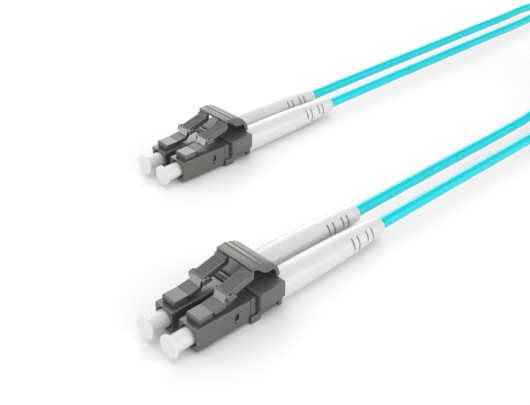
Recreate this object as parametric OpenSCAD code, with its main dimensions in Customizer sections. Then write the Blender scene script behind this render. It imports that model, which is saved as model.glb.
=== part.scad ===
// Duplex fibre optic patch cord: two ends, each with two square push-in plugs held side by side
// in a clip with one shared release trigger, and two thin jacketed cords put away in a round coil.
// Millimetres. +X runs across the plugs, +Y from the plug faces towards the cords, +Z is up.
// The ends' own places count y from the front face of the housings and z from the plugs' axis.

/* [Overall] */
// Distance between the two plug axes of one end
pitch = 6.25; // [6.15:0.05:6.35]
// Distance across, from the middle of end A to the middle of end B
end_gap_x = 43.75; // [36:0.25:52]
// How far end B lies behind end A
end_gap_y = 33.1; // [24:0.1:42]

/* [Plug housing] */
// Width and height of the square housing
housing_w = 4.5; // [4.4:0.01:4.55]
// Length of the housing
housing_l = 11.9; // [11.7:0.1:12]
// Bore at the nose, which takes the far socket's sleeve or the dust cap
nose_bore_d = 3.35; // [3.3:0.01:3.5]
// Depth of the nose bore
nose_bore_l = 3.4; // [3:0.1:3.6]
// Bore that the ferrule passes through
shoulder_bore_d = 2.3; // [2.1:0.05:2.4]
// Wall between the nose bore and the holder
shoulder_l = 0.95; // [0.8:0.05:1.1]
// Bore behind the shoulder
cavity_d = 3.3; // [3.26:0.01:3.4]

/* [Latch] */
// Width of the latch arm and its root
latch_w = 2.8; // [2.4:0.05:3]
// Width over the two catch lugs
catch_w = 4.1; // [3.6:0.05:4.3]
// Slope of the raised part of the arm in degrees
latch_slope = 13.4; // [12:0.1:14]

/* [Ferrule] */
// Diameter of the ceramic ferrule
ferrule_d = 1.25; // [1.2:0.01:1.3]
// How far the ferrule stands out of the housing
ferrule_out = 1.9; // [1.5:0.1:2.1]
// Diameter of the holder's flange
flange_d = 2.9; // [2.7:0.05:3]

/* [Spring] */
// Diameter of the spring wire
wire_d = 0.3; // [0.2:0.01:0.32]
// Mean diameter of the spring
spring_d = 2.2; // [2.1:0.05:2.3]
// Number of curls
curls = 6; // [4:1:6]

/* [Rear body and clip] */
// Diameter of the round part that the clip holds
round_d = 4.4; // [4.3:0.05:4.45]
// Width of the clip
clip_w = 12.7; // [12.5:0.1:13.2]
// Height of the clip's top above the plug axis
clip_top = 3.05; // [2.95:0.01:3.15]
// Width of the openings under the clip that snap over the rear bodies
snap_w = 3.2; // [2.6:0.1:3.4]

/* [Trigger] */
// Width of the trigger
trigger_w = 9; // [8:0.1:9.4]
// Thickness of the trigger's plate and arm
trigger_t = 0.6; // [0.5:0.02:0.64]

/* [Boot and cord] */
// Diameter of the boot at its front
boot_front_d = 5.7; // [5.2:0.1:5.7]
// Diameter of the boot at its tail
boot_tail_d = 3.7; // [3.4:0.1:4]
// Length of the boot
boot_l = 28.95; // [27:0.05:30]
// Diameter of the cord's jacket
cord_d = 2.4; // [2:0.1:2.4]
// Diameter of the buffered fibre inside
buffer_d = 0.9; // [0.7:0.05:0.9]

/* [Dust cap] */
// Diameter of the cap's disc
cap_d = 4.35; // [4:0.05:5]
// Thickness of the cap's disc
cap_t = 0.5; // [0.4:0.1:0.9]
// Distance of the disc's back from the housing
cap_out = 3.6; // [3.2:0.1:4]

/* [Coil] */
// Turns of each cord on one layer of the coil
coil_turns = 3.5; // [2.5:1:3.5]
// Radius of the innermost turn
coil_inner_r = 9.6; // [9.6:0.1:10.4]

/* [Hidden] */
$fn = 48;
cut = 0.5;                            // how far a cutting shape runs past a face
press = 0;                            // fit of parts that are pushed or crimped together
slide_fit = 0.025;                    // radial clearance of the ferrule in the cap
stop_gap = 0.02;                      // gap left where a sprung part stands against its stop
hinge_fit = 0.04;                     // radial clearance of the two hinges
snap_fit = 0.05;                      // clearance round a snap lug and round the rear sleeve
edge = 0.2;                           // bevel on the plugs' long edges

side_x = pitch / 2;
half = housing_w / 2;

// Places along the plug, from the front face of the housing
shoulder_y = nose_bore_l + shoulder_l;
holder_y = shoulder_y + stop_gap;
flange_l = 2;
flange_end_y = holder_y + flange_l;
holder_bore_y = flange_end_y - 0.35;
holder_end_y = flange_end_y + 2.2;
tail_d = 1.6;
tail_bore_d = 1;
ferrule_seat_l = 0.5;
buffer_y = holder_bore_y + 0.9;        // clear of the holder when the ferrule is pushed in
spring_seat_y = housing_l - 0.4;
sleeve_y = spring_seat_y - 3.5;
window_y = sleeve_y + 0.3;
window_z = [-0.35, 0.95];
ridge_body_r = 0.68;                   // rounded ridge across the top of the collar
collar_end_y = housing_l + 1.45;
round_end_y = collar_end_y + 3.25;
clip_end_y = round_end_y + 2.6;
post_end_y = round_end_y + 4;
post_d = 3;
crimp_d = 3.9;
crimp_end_y = post_end_y + 0.3;
yarn_t = 0.1;
neck_d = 3.1;
neck_end_y = crimp_end_y + 3;
jacket_y = post_end_y + 0.4;
boot_y = clip_end_y + 0.05;
tail_y = boot_y + boot_l;
fibre_bore_d = 1.3;

// Trigger: hinge in the clip's top and the curve of its back, a quarter of an ellipse
trigger_hinge = [clip_end_y - 0.5, clip_top - 0.3];
trigger_knuckle_r = 0.36;
curve_mid = [clip_end_y - 5.2, clip_top + 0.1];
curve_l = 5.6;
curve_h = 4.5;
lip_y = curve_mid[0] - 1;
lip_z = curve_mid[1] + curve_h;
pad_z = lip_z - 2.4;                   // underside of the solid pad behind the lip
ridge_r = 0.25;

// Latch: hinge, root block and arm, as places y and z in the plane through the axis
latch_hinge = [4.1, 2.95];
latch_knuckle_r = 0.38;
root_w = latch_w + 0.4;                // width of the root block and of the arm up to its step
root_top = 3.5;
arm_foot = [6.85, 3.84];
arm_step = [7.15, 5.05];
arm_t = 1.18;                          // thickness of the arm measured straight up
tip_y = lip_y - 0.5;

// The floor is the lowest line of the boots, and the clips' hooks reach it too
axis_z = boot_front_d / 2;
end_a = [end_gap_x / 2, -(end_gap_y + tail_y - cap_out - cap_t) / 2];
end_b = [-end_gap_x / 2, end_a[1] + end_gap_y];

function arm_top(y) = arm_step[1] + (y - arm_step[0]) * tan(latch_slope);
function on_curve(a, inset = 0) =
    [curve_mid[0] + (curve_l - inset) * sin(a), curve_mid[1] + (curve_h - inset) * cos(a)];
function on_curve_at(y) =
    curve_mid[1] + curve_h * sqrt(1 - pow((y - curve_mid[0]) / curve_l, 2));
function bevelled(w, b) = let (h = w / 2)
    [[-h + b, -h], [h - b, -h], [h, -h + b], [h, h - b],
     [h - b, h], [-h + b, h], [-h, h - b], [-h, -h + b]];
function boot_r(t) = boot_tail_d / 2 + (boot_front_d - boot_tail_d) / 2 * (1 - pow(t, 2.5));

// ---- Helpers ----

// A cylinder along the plug from y0 to y1
module rod(d, y0, y1) {
    translate([0, y0, 0])
        rotate([-90, 0, 0])
            cylinder(d = d, h = y1 - y0);
}

// A turned shape from points of radius and place along the plug
module turned(points) {
    rotate([-90, 0, 0])
        rotate_extrude()
            polygon(points);
}

// An outline of y and z places, as wide as w across the plug
module across(points, w) {
    rotate([90, 0, 90])
        linear_extrude(w, center = true)
            polygon(points);
}

// An outline of x and z places, from y0 to y1 along the plug
module along(points, y0, y1) {
    translate([0, y1, 0])
        rotate([90, 0, 0])
            linear_extrude(y1 - y0)
                polygon(points);
}

// A round bar across the plug at a place of y and z
module pin(at, r, w) {
    translate([0, at[0], at[1]])
        rotate([0, 90, 0])
            cylinder(r = r, h = w, center = true);
}

// A box between two corners
module box(from, to) {
    translate(from)
        cube(to - from);
}

// Puts an end's piece at its end, and a plug's piece at its side of that end
module at_end(end) {
    translate([end[0], end[1], axis_z])
        children();
}

module at_plug(end, side) {
    at_end(end)
        translate([side * side_x, 0, 0])
            children();
}

// ---- Plug ----

module housing() {
    color("DimGray")
        difference() {
            union() {
                along(bevelled(housing_w, edge), 0, housing_l);
                latch_root();
            }
            rod(nose_bore_d, -cut, nose_bore_l);
            turned([[0, -cut], [2.1 + cut, -cut], [1.55, 0.55], [0, 0.55]]);
            rod(shoulder_bore_d, nose_bore_l - cut, shoulder_y + cut);
            rod(cavity_d, shoulder_y, housing_l + cut);
            box([-half - cut, window_y, window_z[0]], [half + cut, window_y + 0.9, window_z[1]]);
        }
}

// The block on top of the nose that the latch turns in
module latch_root() {
    back_y = latch_hinge[0] + 0.15;
    difference() {
        across([[1.05, 1.9], [1.05, 3.3], [1.25, root_top], [back_y, root_top], [back_y, 1.9]], root_w);
        pin(latch_hinge, latch_knuckle_r + hinge_fit, root_w + cut);
    }
}

module latch() {
    back_y = latch_hinge[0] + 0.25;
    tip_top = 6.98;
    catch_y = arm_step[0] + 0.05;
    color("DimGray")
        union() {
            pin(latch_hinge, latch_knuckle_r, root_w);
            box([-root_w / 2, latch_hinge[0], 2.68], [root_w / 2, back_y + 0.2, 3.22]);
            across([[back_y, root_top + 0.05], arm_foot, [arm_foot[0] + 0.15, 2.85], [back_y, 2.55]], root_w);
            across([
                [back_y, root_top + 0.05], arm_foot, arm_step, [tip_y, arm_top(tip_y)],
                [tip_y + 0.05, 6.72], [tip_y + 0.35, 6.75], [tip_y + 0.4, tip_top],
                [tip_y + 0.95, tip_top], [tip_y + 1, 5.75], [tip_y + 0.7, arm_top(tip_y + 0.7) - arm_t],
                [7.9, arm_top(7.9) - arm_t], [6.95, 2.85], [back_y, 2.55]
            ], latch_w);
            across([
                [catch_y, 4.05], [catch_y, 4.9], [catch_y + 0.3, 5.15], [catch_y + 1.3, 5.15],
                [catch_y + 1.9, 4.65], [catch_y + 1.9, 4.35]
            ], catch_w);
        }
}

module ferrule() {
    r = ferrule_d / 2;
    bevel = 0.15;
    color("White")
        turned([
            [0, -ferrule_out], [r - bevel, -ferrule_out], [r, -ferrule_out + bevel],
            [r, holder_y + ferrule_seat_l], [0, holder_y + ferrule_seat_l]
        ]);
}

module ferrule_holder() {
    bevel = 0.25;
    color("Silver")
        difference() {
            turned([
                [0, holder_y], [flange_d / 2 - bevel, holder_y], [flange_d / 2, holder_y + bevel],
                [flange_d / 2, flange_end_y], [tail_d / 2, flange_end_y],
                [tail_d / 2, holder_end_y], [0, holder_end_y]
            ]);
            rod(ferrule_d + press, holder_y - cut, holder_y + ferrule_seat_l);
            rod(tail_bore_d, holder_bore_y, holder_end_y + cut);
        }
}

// Everything behind the housing in one piece: sleeve, snap lugs, square collar, round part, crimp post
module rear_body() {
    sleeve_d = cavity_d - 2 * snap_fit;
    lug_y = window_y + snap_fit;
    color("DimGray")
        difference() {
            union() {
                rod(sleeve_d, sleeve_y, housing_l + cut);
                box([-2.05, lug_y, window_z[0] + snap_fit], [2.05, lug_y + 0.8, window_z[1] - snap_fit]);
                along(bevelled(housing_w, edge), housing_l, collar_end_y);
                pin([housing_l + ridge_body_r + 0.04, 2.28], ridge_body_r, housing_w - 2 * edge);
                rod(round_d, collar_end_y - cut, round_end_y);
                rod(post_d, round_end_y - cut, post_end_y);
            }
            rod(sleeve_d - 0.5, sleeve_y - cut, spring_seat_y);
            rod(fibre_bore_d, spring_seat_y - cut, post_end_y + cut);
        }
}

module yarn() {
    color("Gold")
        difference() {
            rod(post_d + 2 * yarn_t, round_end_y, post_end_y);
            rod(post_d + press, round_end_y - cut, post_end_y + cut);
        }
}

module crimp_ring() {
    color("Silver")
        difference() {
            union() {
                rod(crimp_d, round_end_y, crimp_end_y);
                rod(neck_d, crimp_end_y - cut, neck_end_y);
            }
            rod(post_d + 2 * yarn_t + press, round_end_y - cut, post_end_y);
            rod(cord_d + press, post_end_y - cut, neck_end_y + cut);
        }
}

module boot() {
    steps = 12;
    round_r = 0.35;
    slit_y = 19.15;
    slit_step = 4.15;
    color("WhiteSmoke")
        difference() {
            turned(concat(
                [[0, boot_y]],
                [for (i = [0:steps - 1]) [boot_r(i / steps), boot_y + boot_l * i / steps]],
                [[boot_tail_d / 2, tail_y - round_r], [boot_tail_d / 2 - round_r, tail_y], [0, tail_y]]
            ));
            rod(crimp_d + press, boot_y - cut, crimp_end_y + press);
            rod(neck_d + press, boot_y, neck_end_y + press);
            rod(cord_d + press, boot_y, tail_y + cut);
            for (pair = [0, 1]) {
                slit(boot_y + slit_y + slit_step * pair, 5, 55);
                slit(boot_y + slit_y + 1.55 + slit_step * pair, -25, 81);
            }
        }
}

// Two blind slits across the boot, one on each side, that let its tail bend
module slit(y, from, span) {
    depth = 0.6;
    width = 0.33;
    bottom_r = boot_r((y - boot_y) / boot_l) - depth;
    for (start = [from, 180 - from - span])
        rotate([-90, -start, 0])
            translate([0, 0, y - width / 2])
                rotate([0, 0, -span])
                    rotate_extrude(angle = span)
                        polygon([[bottom_r, 0], [boot_front_d, 0], [boot_front_d, width], [bottom_r, width]]);
}

module dust_cap() {
    disc_y = -cap_out - cap_t;
    stem_end = nose_bore_l - stop_gap;
    stem_r = nose_bore_d / 2 - 0.075;
    bevel = 0.15;
    color("Ivory")
        difference() {
            turned([
                [0, disc_y], [cap_d / 2 - bevel, disc_y], [cap_d / 2, disc_y + bevel],
                [cap_d / 2, -cap_out - bevel], [cap_d / 2 - bevel, -cap_out], [stem_r, -cap_out],
                [stem_r, stem_end - bevel], [stem_r - bevel, stem_end], [0, stem_end]
            ]);
            rod(ferrule_d + 2 * slide_fit, -ferrule_out - 0.4, stem_end + cut);
        }
}

module buffer() {
    color("Ivory")
        rod(buffer_d, buffer_y, tail_y);
}

module jacket_stub() {
    color("DarkTurquoise")
        difference() {
            rod(cord_d, jacket_y, tail_y);
            rod(buffer_d + press, jacket_y - cut, tail_y + cut);
        }
}

// ---- Clip and trigger ----

// The outline of half the clip's section is mirrored; its lower walls stop at wall_z
module clip() {
    wall_x = clip_w / 2;
    foot_x = side_x + half + 0.275;
    wall_z = -1.95;
    foot_y = clip_end_y - 0.9;
    tab_t = 0.4;                       // tabs in front that hold the plugs' sides
    bevel = 0.35;
    half_outline = [
        [wall_x - bevel, clip_top], [wall_x, clip_top - bevel], [wall_x, -0.15],
        [foot_x, -0.85], [foot_x, wall_z]
    ];
    outline = concat(half_outline, [for (i = [4:-1:0]) [-half_outline[i][0], half_outline[i][1]]]);
    color("DimGray")
        difference() {
            union() {
                along(outline, collar_end_y, clip_end_y);
                for (x = [-foot_x, -1.5, foot_x - 0.9])
                    clip_feet(x, x == -1.5 ? 3 : 0.9, wall_z, foot_y);
                for (side = [-1, 1])
                    translate([side * (side_x + half + 0.05 + tab_t / 2), 0, 0])
                        box([-tab_t / 2, housing_l - 0.2, -2.3], [tab_t / 2, collar_end_y + 0.4, -1.2]);
            }
            for (side = [-1, 1])
                translate([side * side_x, 0, 0]) {
                    rod(round_d + press, collar_end_y - cut, round_end_y + 0.1);
                    rod(crimp_d + 0.2, round_end_y, clip_end_y + cut);
                    box([-snap_w / 2, collar_end_y - cut, -3], [snap_w / 2, clip_end_y + cut, -0.8]);
                }
            box([-wall_x, foot_y - 0.7, wall_z - cut], [wall_x, foot_y, -1.25]);
            across([[collar_end_y - cut, clip_top + cut], [collar_end_y - cut, clip_top - bevel - cut],
                    [collar_end_y + bevel + cut, clip_top + cut]], clip_w + cut);
            pin(trigger_hinge, trigger_knuckle_r + hinge_fit, trigger_w + 0.2);
        }
}

// The hook in front, which reaches under the plug's collar, and the foot behind
module clip_feet(x, w, wall_z, foot_y) {
    hook_y = housing_l - 0.1;
    hook_end_y = collar_end_y + 0.75;
    foot_z = -2.35;
    top_z = wall_z + 0.05;
    translate([x + w / 2, 0, 0]) {
        across([[hook_y, -axis_z], [hook_end_y, -axis_z], [hook_end_y, top_z],
                [collar_end_y, top_z], [collar_end_y, -half], [hook_y, -half]], w);
        across([[foot_y, foot_z], [clip_end_y, foot_z], [clip_end_y, top_z], [foot_y, top_z]], w);
    }
}

module trigger() {
    neck_z = clip_top + 0.15;
    neck_y = trigger_hinge[0] - 0.3;
    outer_y = curve_mid[0] + curve_l;
    inner = trigger_t + 0.1;
    inner_end = acos((pad_z - curve_mid[1]) / (curve_h - inner));
    color("DimGray")
        union() {
            pin(trigger_hinge, trigger_knuckle_r, trigger_w);
            box([-trigger_w / 2, trigger_hinge[0] - 0.18, trigger_hinge[1]],
                [trigger_w / 2, trigger_hinge[0] + 0.18, neck_z + 0.3]);
            across([[neck_y, neck_z], [outer_y - 0.1, neck_z], [outer_y - 0.1, neck_z + 0.4],
                    [neck_y + 0.1, neck_z + 0.4]], trigger_w);
            across(concat(
                [[lip_y, lip_z]],
                [for (a = [0:9:81]) on_curve(a)],
                [[outer_y, neck_z + 0.1], [outer_y - inner, neck_z + 0.1]],
                [for (i = [1:5]) on_curve(90 - (90 - inner_end) * i / 5, inner)],
                [for (p = [[3.5, -0.1], [2.75, -0.06], [2.1, 0.14], [1.6, 0.45], [1, 0.98], [0.6, 1.35]])
                    [curve_mid[0] + p[0], pad_z + p[1]]],
                [[curve_mid[0] - 0.2, lip_z - trigger_t]],
                [[lip_y, lip_z - trigger_t]]
            ), trigger_w);
            for (y = [0.9, 2.03, 3, 3.87])
                pin([curve_mid[0] + y, on_curve_at(curve_mid[0] + y) - 0.1], ridge_r, trigger_w);
        }
}

// ---- Swept tubes ----

function unit(v) = v / norm(v);
function total(v, i = 0) = i == len(v) ? 0 : v[i] + total(v, i + 1);

// Directions along a line of points, from neighbour to neighbour, or the two given ones at its ends
function directions(line, first, last) = let (n = len(line))
    [for (i = [0:n - 1]) i == 0 ? first : i == n - 1 ? last : unit(line[i + 1] - line[i - 1])];

// Rings of k points at radius r round a line, square to its directions; ref is never along the line
function rings(line, ways, r, k, ref) =
    [for (i = [0:len(line) - 1])
        let (side = unit(cross(ways[i], ref)), up = cross(side, ways[i]))
            for (j = [0:k - 1]) line[i] + r * (side * cos(360 * j / k) + up * sin(360 * j / k))];

function skin(n, k) = concat(
    [for (j = [1:k - 2]) [0, j + 1, j]],
    [for (i = [0:n - 2], j = [0:k - 1]) let (a = i * k + j, b = i * k + (j + 1) % k) [a, b, b + k]],
    [for (i = [0:n - 2], j = [0:k - 1]) let (a = i * k + j, b = i * k + (j + 1) % k) [a, b + k, a + k]],
    [for (j = [1:k - 2]) let (s = (n - 1) * k) [s, s + j, s + j + 1]]
);

module tube(line, ways, r, k, ref) {
    polyhedron(points = rings(line, ways, r, k, ref), faces = skin(len(line), k), convexity = 10);
}

// A smooth line through route points, with a ring about every three diameters
function spline(a, b, c, d, t) =
    (2 * b + (c - a) * t + (2 * a - 5 * b + 4 * c - d) * t * t + (3 * b - 3 * c + d - a) * t * t * t) / 2;
function smooth(route) = let (n = len(route))
    concat([for (i = [0:n - 2])
        let (steps = max(1, round(norm(route[i + 1] - route[i]) / (3.1 * cord_d))))
            for (s = [0:steps - 1])
                spline(route[max(i - 1, 0)], route[i], route[i + 1], route[min(i + 2, n - 1)], s / steps)],
        [route[n - 1]]);

// The least distance between parts of a line more than apart points from each other, less its width
function least_gap(line, apart, d) =
    min([for (i = [0:len(line) - 1 - apart], j = [i + apart:len(line) - 1]) norm(line[i] - line[j])]) - d;

function length_of(line) = total([for (i = [1:len(line) - 1]) norm(line[i] - line[i - 1])]);

// ---- Ferrule spring ----

spring_from = flange_end_y + wire_d / 2;
spring_to = spring_seat_y - wire_d / 2;
spring_steps = 8 * curls;
spring_line = [for (i = [0:spring_steps])
    [spring_d / 2 * cos(45 * i), spring_from + (spring_to - spring_from) * i / spring_steps,
     spring_d / 2 * sin(45 * i)]];

module spring() {
    ways = directions(spring_line, [0, 0, 1], [0, 0, 1]);
    color("Silver")
        tube(spring_line, ways, wire_d / 2, 6, [0, 1, 0]);
}

// ---- Cords ----

// Each cord runs straight out of its boot, comes down to the floor, joins its half of the coil
// from the left, leaves it on the next layer up and turns back in one wide bend to end B.
right_a = end_a[0] + side_x;
left_a = end_a[0] - side_x;
right_b = end_b[0] + side_x;
left_b = end_b[0] - side_x;
tail_a = end_a[1] + tail_y;
tail_b = end_b[1] + tail_y;
turn_pitch = cord_d + 0.41;
layer_pitch = cord_d + 0.45;
coil_x = 32;
coil_y = 112;
floor_z = 1.25;
coil_outer_r = coil_inner_r + turn_pitch * coil_turns;
coil_left = coil_x - coil_outer_r;
coil_in_y = coil_y - cord_d;
coil_out_y = coil_y + cord_d;
function layer_z(n) = floor_z + layer_pitch * (n - 1);

route_1_a = [
    [right_a, tail_a, axis_z], [right_a, 16, axis_z], [25, 40, 2.7], [25, 60, 2.5], [24.4, 71, 2],
    [22, 81, 1.5], [18.2, 90, 1.25], [14.7, 98, 1.25], [12.8, 104, 1.25], [coil_left, coil_in_y, layer_z(1)]
];
route_1_b = [
    [coil_left, coil_out_y, layer_z(2)], [12.5, 120, 3.7], [12.5, 128, 2.2], [12.5, 137, 1.4],
    [12.5, 146, 1.25], [10, 155.4, 1.25], [3.1, 162.2, 1.25], [-6.2, 164.8, 1.25], [-15.6, 162.2, 1.25],
    [-22.5, 155.4, 1.6], [-25, 146, 2.1], [-25, 130, 2.4], [-25, 110, 2.6], [-25, 80, 2.75],
    [left_b, 56, axis_z], [left_b, tail_b, axis_z]
];
route_2_a = [
    [left_a, tail_a, axis_z], [left_a, 16, axis_z], [18.75, 40, 2.7], [18.75, 62, 2.5], [18.6, 74, 2.6],
    [17.6, 83, 3.2], [15.7, 92, 4.4], [13.7, 100, 6], [12.8, 105, 6.7], [coil_left, coil_in_y, layer_z(3)]
];
route_2_b = [
    [coil_left, coil_out_y, layer_z(4)], [12.5, 120, 9.3], [12.5, 128, 7.1], [12.5, 139, 4.3],
    [10.5, 147, 3.2], [4.6, 152.6, 2], [-3.1, 154.6, 1.3], [-11, 152.6, 1.3], [-16.6, 147, 1.7],
    [-18.75, 139, 2.15], [-18.75, 126, 2.4], [-18.75, 105, 2.6], [-18.75, 80, 2.75],
    [right_b, 56, axis_z], [right_b, tail_b, axis_z]
];

// The loops of one cord: in on one layer and out on the next, climbing in the half turn between
coil_steps = 24;
function coil_line(low) = let (n = coil_turns * coil_steps) concat(
    [[coil_left, coil_in_y, layer_z(low)]],
    [for (i = [-n:n])
        let (turn = i / coil_steps,
             r = coil_inner_r + turn_pitch * abs(turn),
             a = 180 - 360 * (turn + coil_turns),
             climb = turn < -0.25 ? 0 : turn > 0.25 ? 1 : 0.5 - 0.5 * cos(360 * (turn + 0.25)))
            [coil_x + r * cos(a), coil_y + r * sin(a), layer_z(low) + layer_pitch * climb]],
    [[coil_left, coil_out_y, layer_z(low + 1)]]
);

// A free stretch sets off towards +Y and arrives heading the way of arrives
module free_cord(route, arrives) {
    line = smooth(route);
    color("DarkTurquoise")
        tube(line, directions(line, [0, 1, 0], [0, arrives, 0]), cord_d / 2, 8, [0, 0, 1]);
}

module coil(low) {
    line = coil_line(low);
    color("DarkTurquoise")
        tube(line, directions(line, [0, 1, 0], [0, 1, 0]), cord_d / 2, 6, [0, 0, 1]);
}

echo(least_gap_in_coil = least_gap(coil_line(1), 12, cord_d));
echo(least_gap_in_spring = least_gap(spring_line, 5, wire_d));
function cord_mm(from_a, low, to_b) =
    length_of(smooth(from_a)) + length_of(coil_line(low)) + length_of(smooth(to_b)) + 2 * tail_y;
echo(cord_1_mm = cord_mm(route_1_a, 1, route_1_b));
echo(cord_2_mm = cord_mm(route_2_a, 3, route_2_b));
echo(rings_of_free_cords = total([for (r = [route_1_a, route_1_b, route_2_a, route_2_b]) len(smooth(r))]));

// ---- Nodes ----

left = -1;
right = 1;

at_plug(end_a, left) housing();  // housing_a_left
at_plug(end_a, right) housing();  // housing_a_right
at_plug(end_b, left) housing();  // housing_b_left
at_plug(end_b, right) housing();  // housing_b_right
at_plug(end_a, left) latch();  // latch_a_left
at_plug(end_a, right) latch();  // latch_a_right
at_plug(end_b, left) latch();  // latch_b_left
at_plug(end_b, right) latch();  // latch_b_right
at_plug(end_a, left) rear_body();  // rear_body_a_left
at_plug(end_a, right) rear_body();  // rear_body_a_right
at_plug(end_b, left) rear_body();  // rear_body_b_left
at_plug(end_b, right) rear_body();  // rear_body_b_right
at_plug(end_a, left) ferrule();  // ferrule_a_left
at_plug(end_a, right) ferrule();  // ferrule_a_right
at_plug(end_b, left) ferrule();  // ferrule_b_left
at_plug(end_b, right) ferrule();  // ferrule_b_right
at_plug(end_a, left) ferrule_holder();  // holder_a_left
at_plug(end_a, right) ferrule_holder();  // holder_a_right
at_plug(end_b, left) ferrule_holder();  // holder_b_left
at_plug(end_b, right) ferrule_holder();  // holder_b_right
at_plug(end_a, left) spring();  // spring_a_left
at_plug(end_a, right) spring();  // spring_a_right
at_plug(end_b, left) spring();  // spring_b_left
at_plug(end_b, right) spring();  // spring_b_right
at_plug(end_a, left) yarn();  // yarn_a_left
at_plug(end_a, right) yarn();  // yarn_a_right
at_plug(end_b, left) yarn();  // yarn_b_left
at_plug(end_b, right) yarn();  // yarn_b_right
at_plug(end_a, left) crimp_ring();  // crimp_ring_a_left
at_plug(end_a, right) crimp_ring();  // crimp_ring_a_right
at_plug(end_b, left) crimp_ring();  // crimp_ring_b_left
at_plug(end_b, right) crimp_ring();  // crimp_ring_b_right
at_plug(end_a, left) boot();  // boot_a_left
at_plug(end_a, right) boot();  // boot_a_right
at_plug(end_b, left) boot();  // boot_b_left
at_plug(end_b, right) boot();  // boot_b_right
at_plug(end_a, left) dust_cap();  // dust_cap_a_left
at_plug(end_a, right) dust_cap();  // dust_cap_a_right
at_plug(end_b, left) dust_cap();  // dust_cap_b_left
at_plug(end_b, right) dust_cap();  // dust_cap_b_right
at_plug(end_a, left) buffer();  // buffer_a_left
at_plug(end_a, right) buffer();  // buffer_a_right
at_plug(end_b, left) buffer();  // buffer_b_left
at_plug(end_b, right) buffer();  // buffer_b_right
at_plug(end_a, left) jacket_stub();  // jacket_a_left
at_plug(end_a, right) jacket_stub();  // jacket_a_right
at_plug(end_b, left) jacket_stub();  // jacket_b_left
at_plug(end_b, right) jacket_stub();  // jacket_b_right
at_end(end_a) clip();  // clip_a
at_end(end_b) clip();  // clip_b
at_end(end_a) trigger();  // trigger_a
at_end(end_b) trigger();  // trigger_b
free_cord(route_1_a, 1);  // cord_1_from_a
coil(1);  // cord_1_coil
free_cord(route_1_b, -1);  // cord_1_to_b
free_cord(route_2_a, 1);  // cord_2_from_a
coil(3);  // cord_2_coil
free_cord(route_2_b, -1);  // cord_2_to_b
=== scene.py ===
"""Duplex fibre optic patch cord: two pairs of square plugs with boots, dust caps and aqua cords.

Every shape is written in millimetres in the frame of its plug or end: x across from the plug's
axis or from midway between an end's two plugs, y back from the front face of the housing, z up from
the axis. A template mesh is made once for each kind of piece, and a copy of it is put at each plug
or end in the frame of the CAD model, in metres.
"""

from __future__ import annotations

import logging
import math
from dataclasses import dataclass
from enum import Enum
from typing import Callable, Sequence

import bmesh
import bpy
import numpy as np
from mathutils import Matrix, Vector

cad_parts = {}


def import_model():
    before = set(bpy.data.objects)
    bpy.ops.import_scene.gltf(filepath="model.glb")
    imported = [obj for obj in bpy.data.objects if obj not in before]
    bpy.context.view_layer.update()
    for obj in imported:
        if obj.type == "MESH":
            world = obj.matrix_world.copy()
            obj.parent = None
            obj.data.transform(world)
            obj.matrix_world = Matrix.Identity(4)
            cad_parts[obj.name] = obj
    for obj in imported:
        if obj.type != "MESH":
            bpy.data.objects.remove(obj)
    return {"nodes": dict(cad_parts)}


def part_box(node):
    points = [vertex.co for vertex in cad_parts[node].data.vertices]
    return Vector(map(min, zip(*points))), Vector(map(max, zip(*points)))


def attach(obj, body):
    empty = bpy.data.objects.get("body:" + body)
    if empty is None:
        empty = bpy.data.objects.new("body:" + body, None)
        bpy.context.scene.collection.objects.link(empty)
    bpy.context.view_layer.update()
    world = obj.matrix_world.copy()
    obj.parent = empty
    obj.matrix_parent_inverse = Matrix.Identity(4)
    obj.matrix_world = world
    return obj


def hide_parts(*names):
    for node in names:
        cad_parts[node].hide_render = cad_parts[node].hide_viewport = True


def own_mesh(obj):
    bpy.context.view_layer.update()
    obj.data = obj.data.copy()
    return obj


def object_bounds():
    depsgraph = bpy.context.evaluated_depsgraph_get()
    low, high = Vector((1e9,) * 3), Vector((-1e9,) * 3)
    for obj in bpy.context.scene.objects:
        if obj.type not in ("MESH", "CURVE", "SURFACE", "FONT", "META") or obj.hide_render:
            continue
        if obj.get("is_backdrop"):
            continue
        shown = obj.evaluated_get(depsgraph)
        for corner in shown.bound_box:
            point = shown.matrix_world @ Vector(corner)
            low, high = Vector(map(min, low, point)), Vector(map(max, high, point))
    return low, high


LOG = logging.getLogger("patch_cord")
MM = 0.001

# The render's frame and the camera that shows the ends as a product picture does.
FRAME_WIDTH = 530
FOCAL_PIXELS = 871.925
SENSOR_MM = 36.0
CAMERA_MM = (111.554, -105.879, 96.717)
CAMERA_AZIMUTH = 45.722
CAMERA_ELEVATION = 31.980
CAMERA_ROLL = 0.843

CORNER_POINTS = 16  # points in each quarter of a lofted ring
CORNER_R = 0.16  # radius of a lofted square's corners
BEVEL_SEGMENTS = 3
BEVEL_ANGLE = math.radians(32)
SHARP_ANGLE = math.radians(38)
ROUNDING_POINTS = 5  # points on each rounded corner of an outline
NEAR_AXIS = 0.0001  # radius of the ring that closes a turned shape on its axis

Point = tuple[float, float]
Triple = tuple[float, float, float]
Outline = Sequence[Point]


class Slot(str, Enum):
    """The pieces' material slots."""

    CONNECTOR = "connector"
    FERRULE = "ferrule"
    STEEL = "steel"
    YARN = "yarn"
    BOOT = "boot"
    CAP = "cap"
    BUFFER = "buffer"
    JACKET = "jacket"


# ---- Shapes ----


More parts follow.
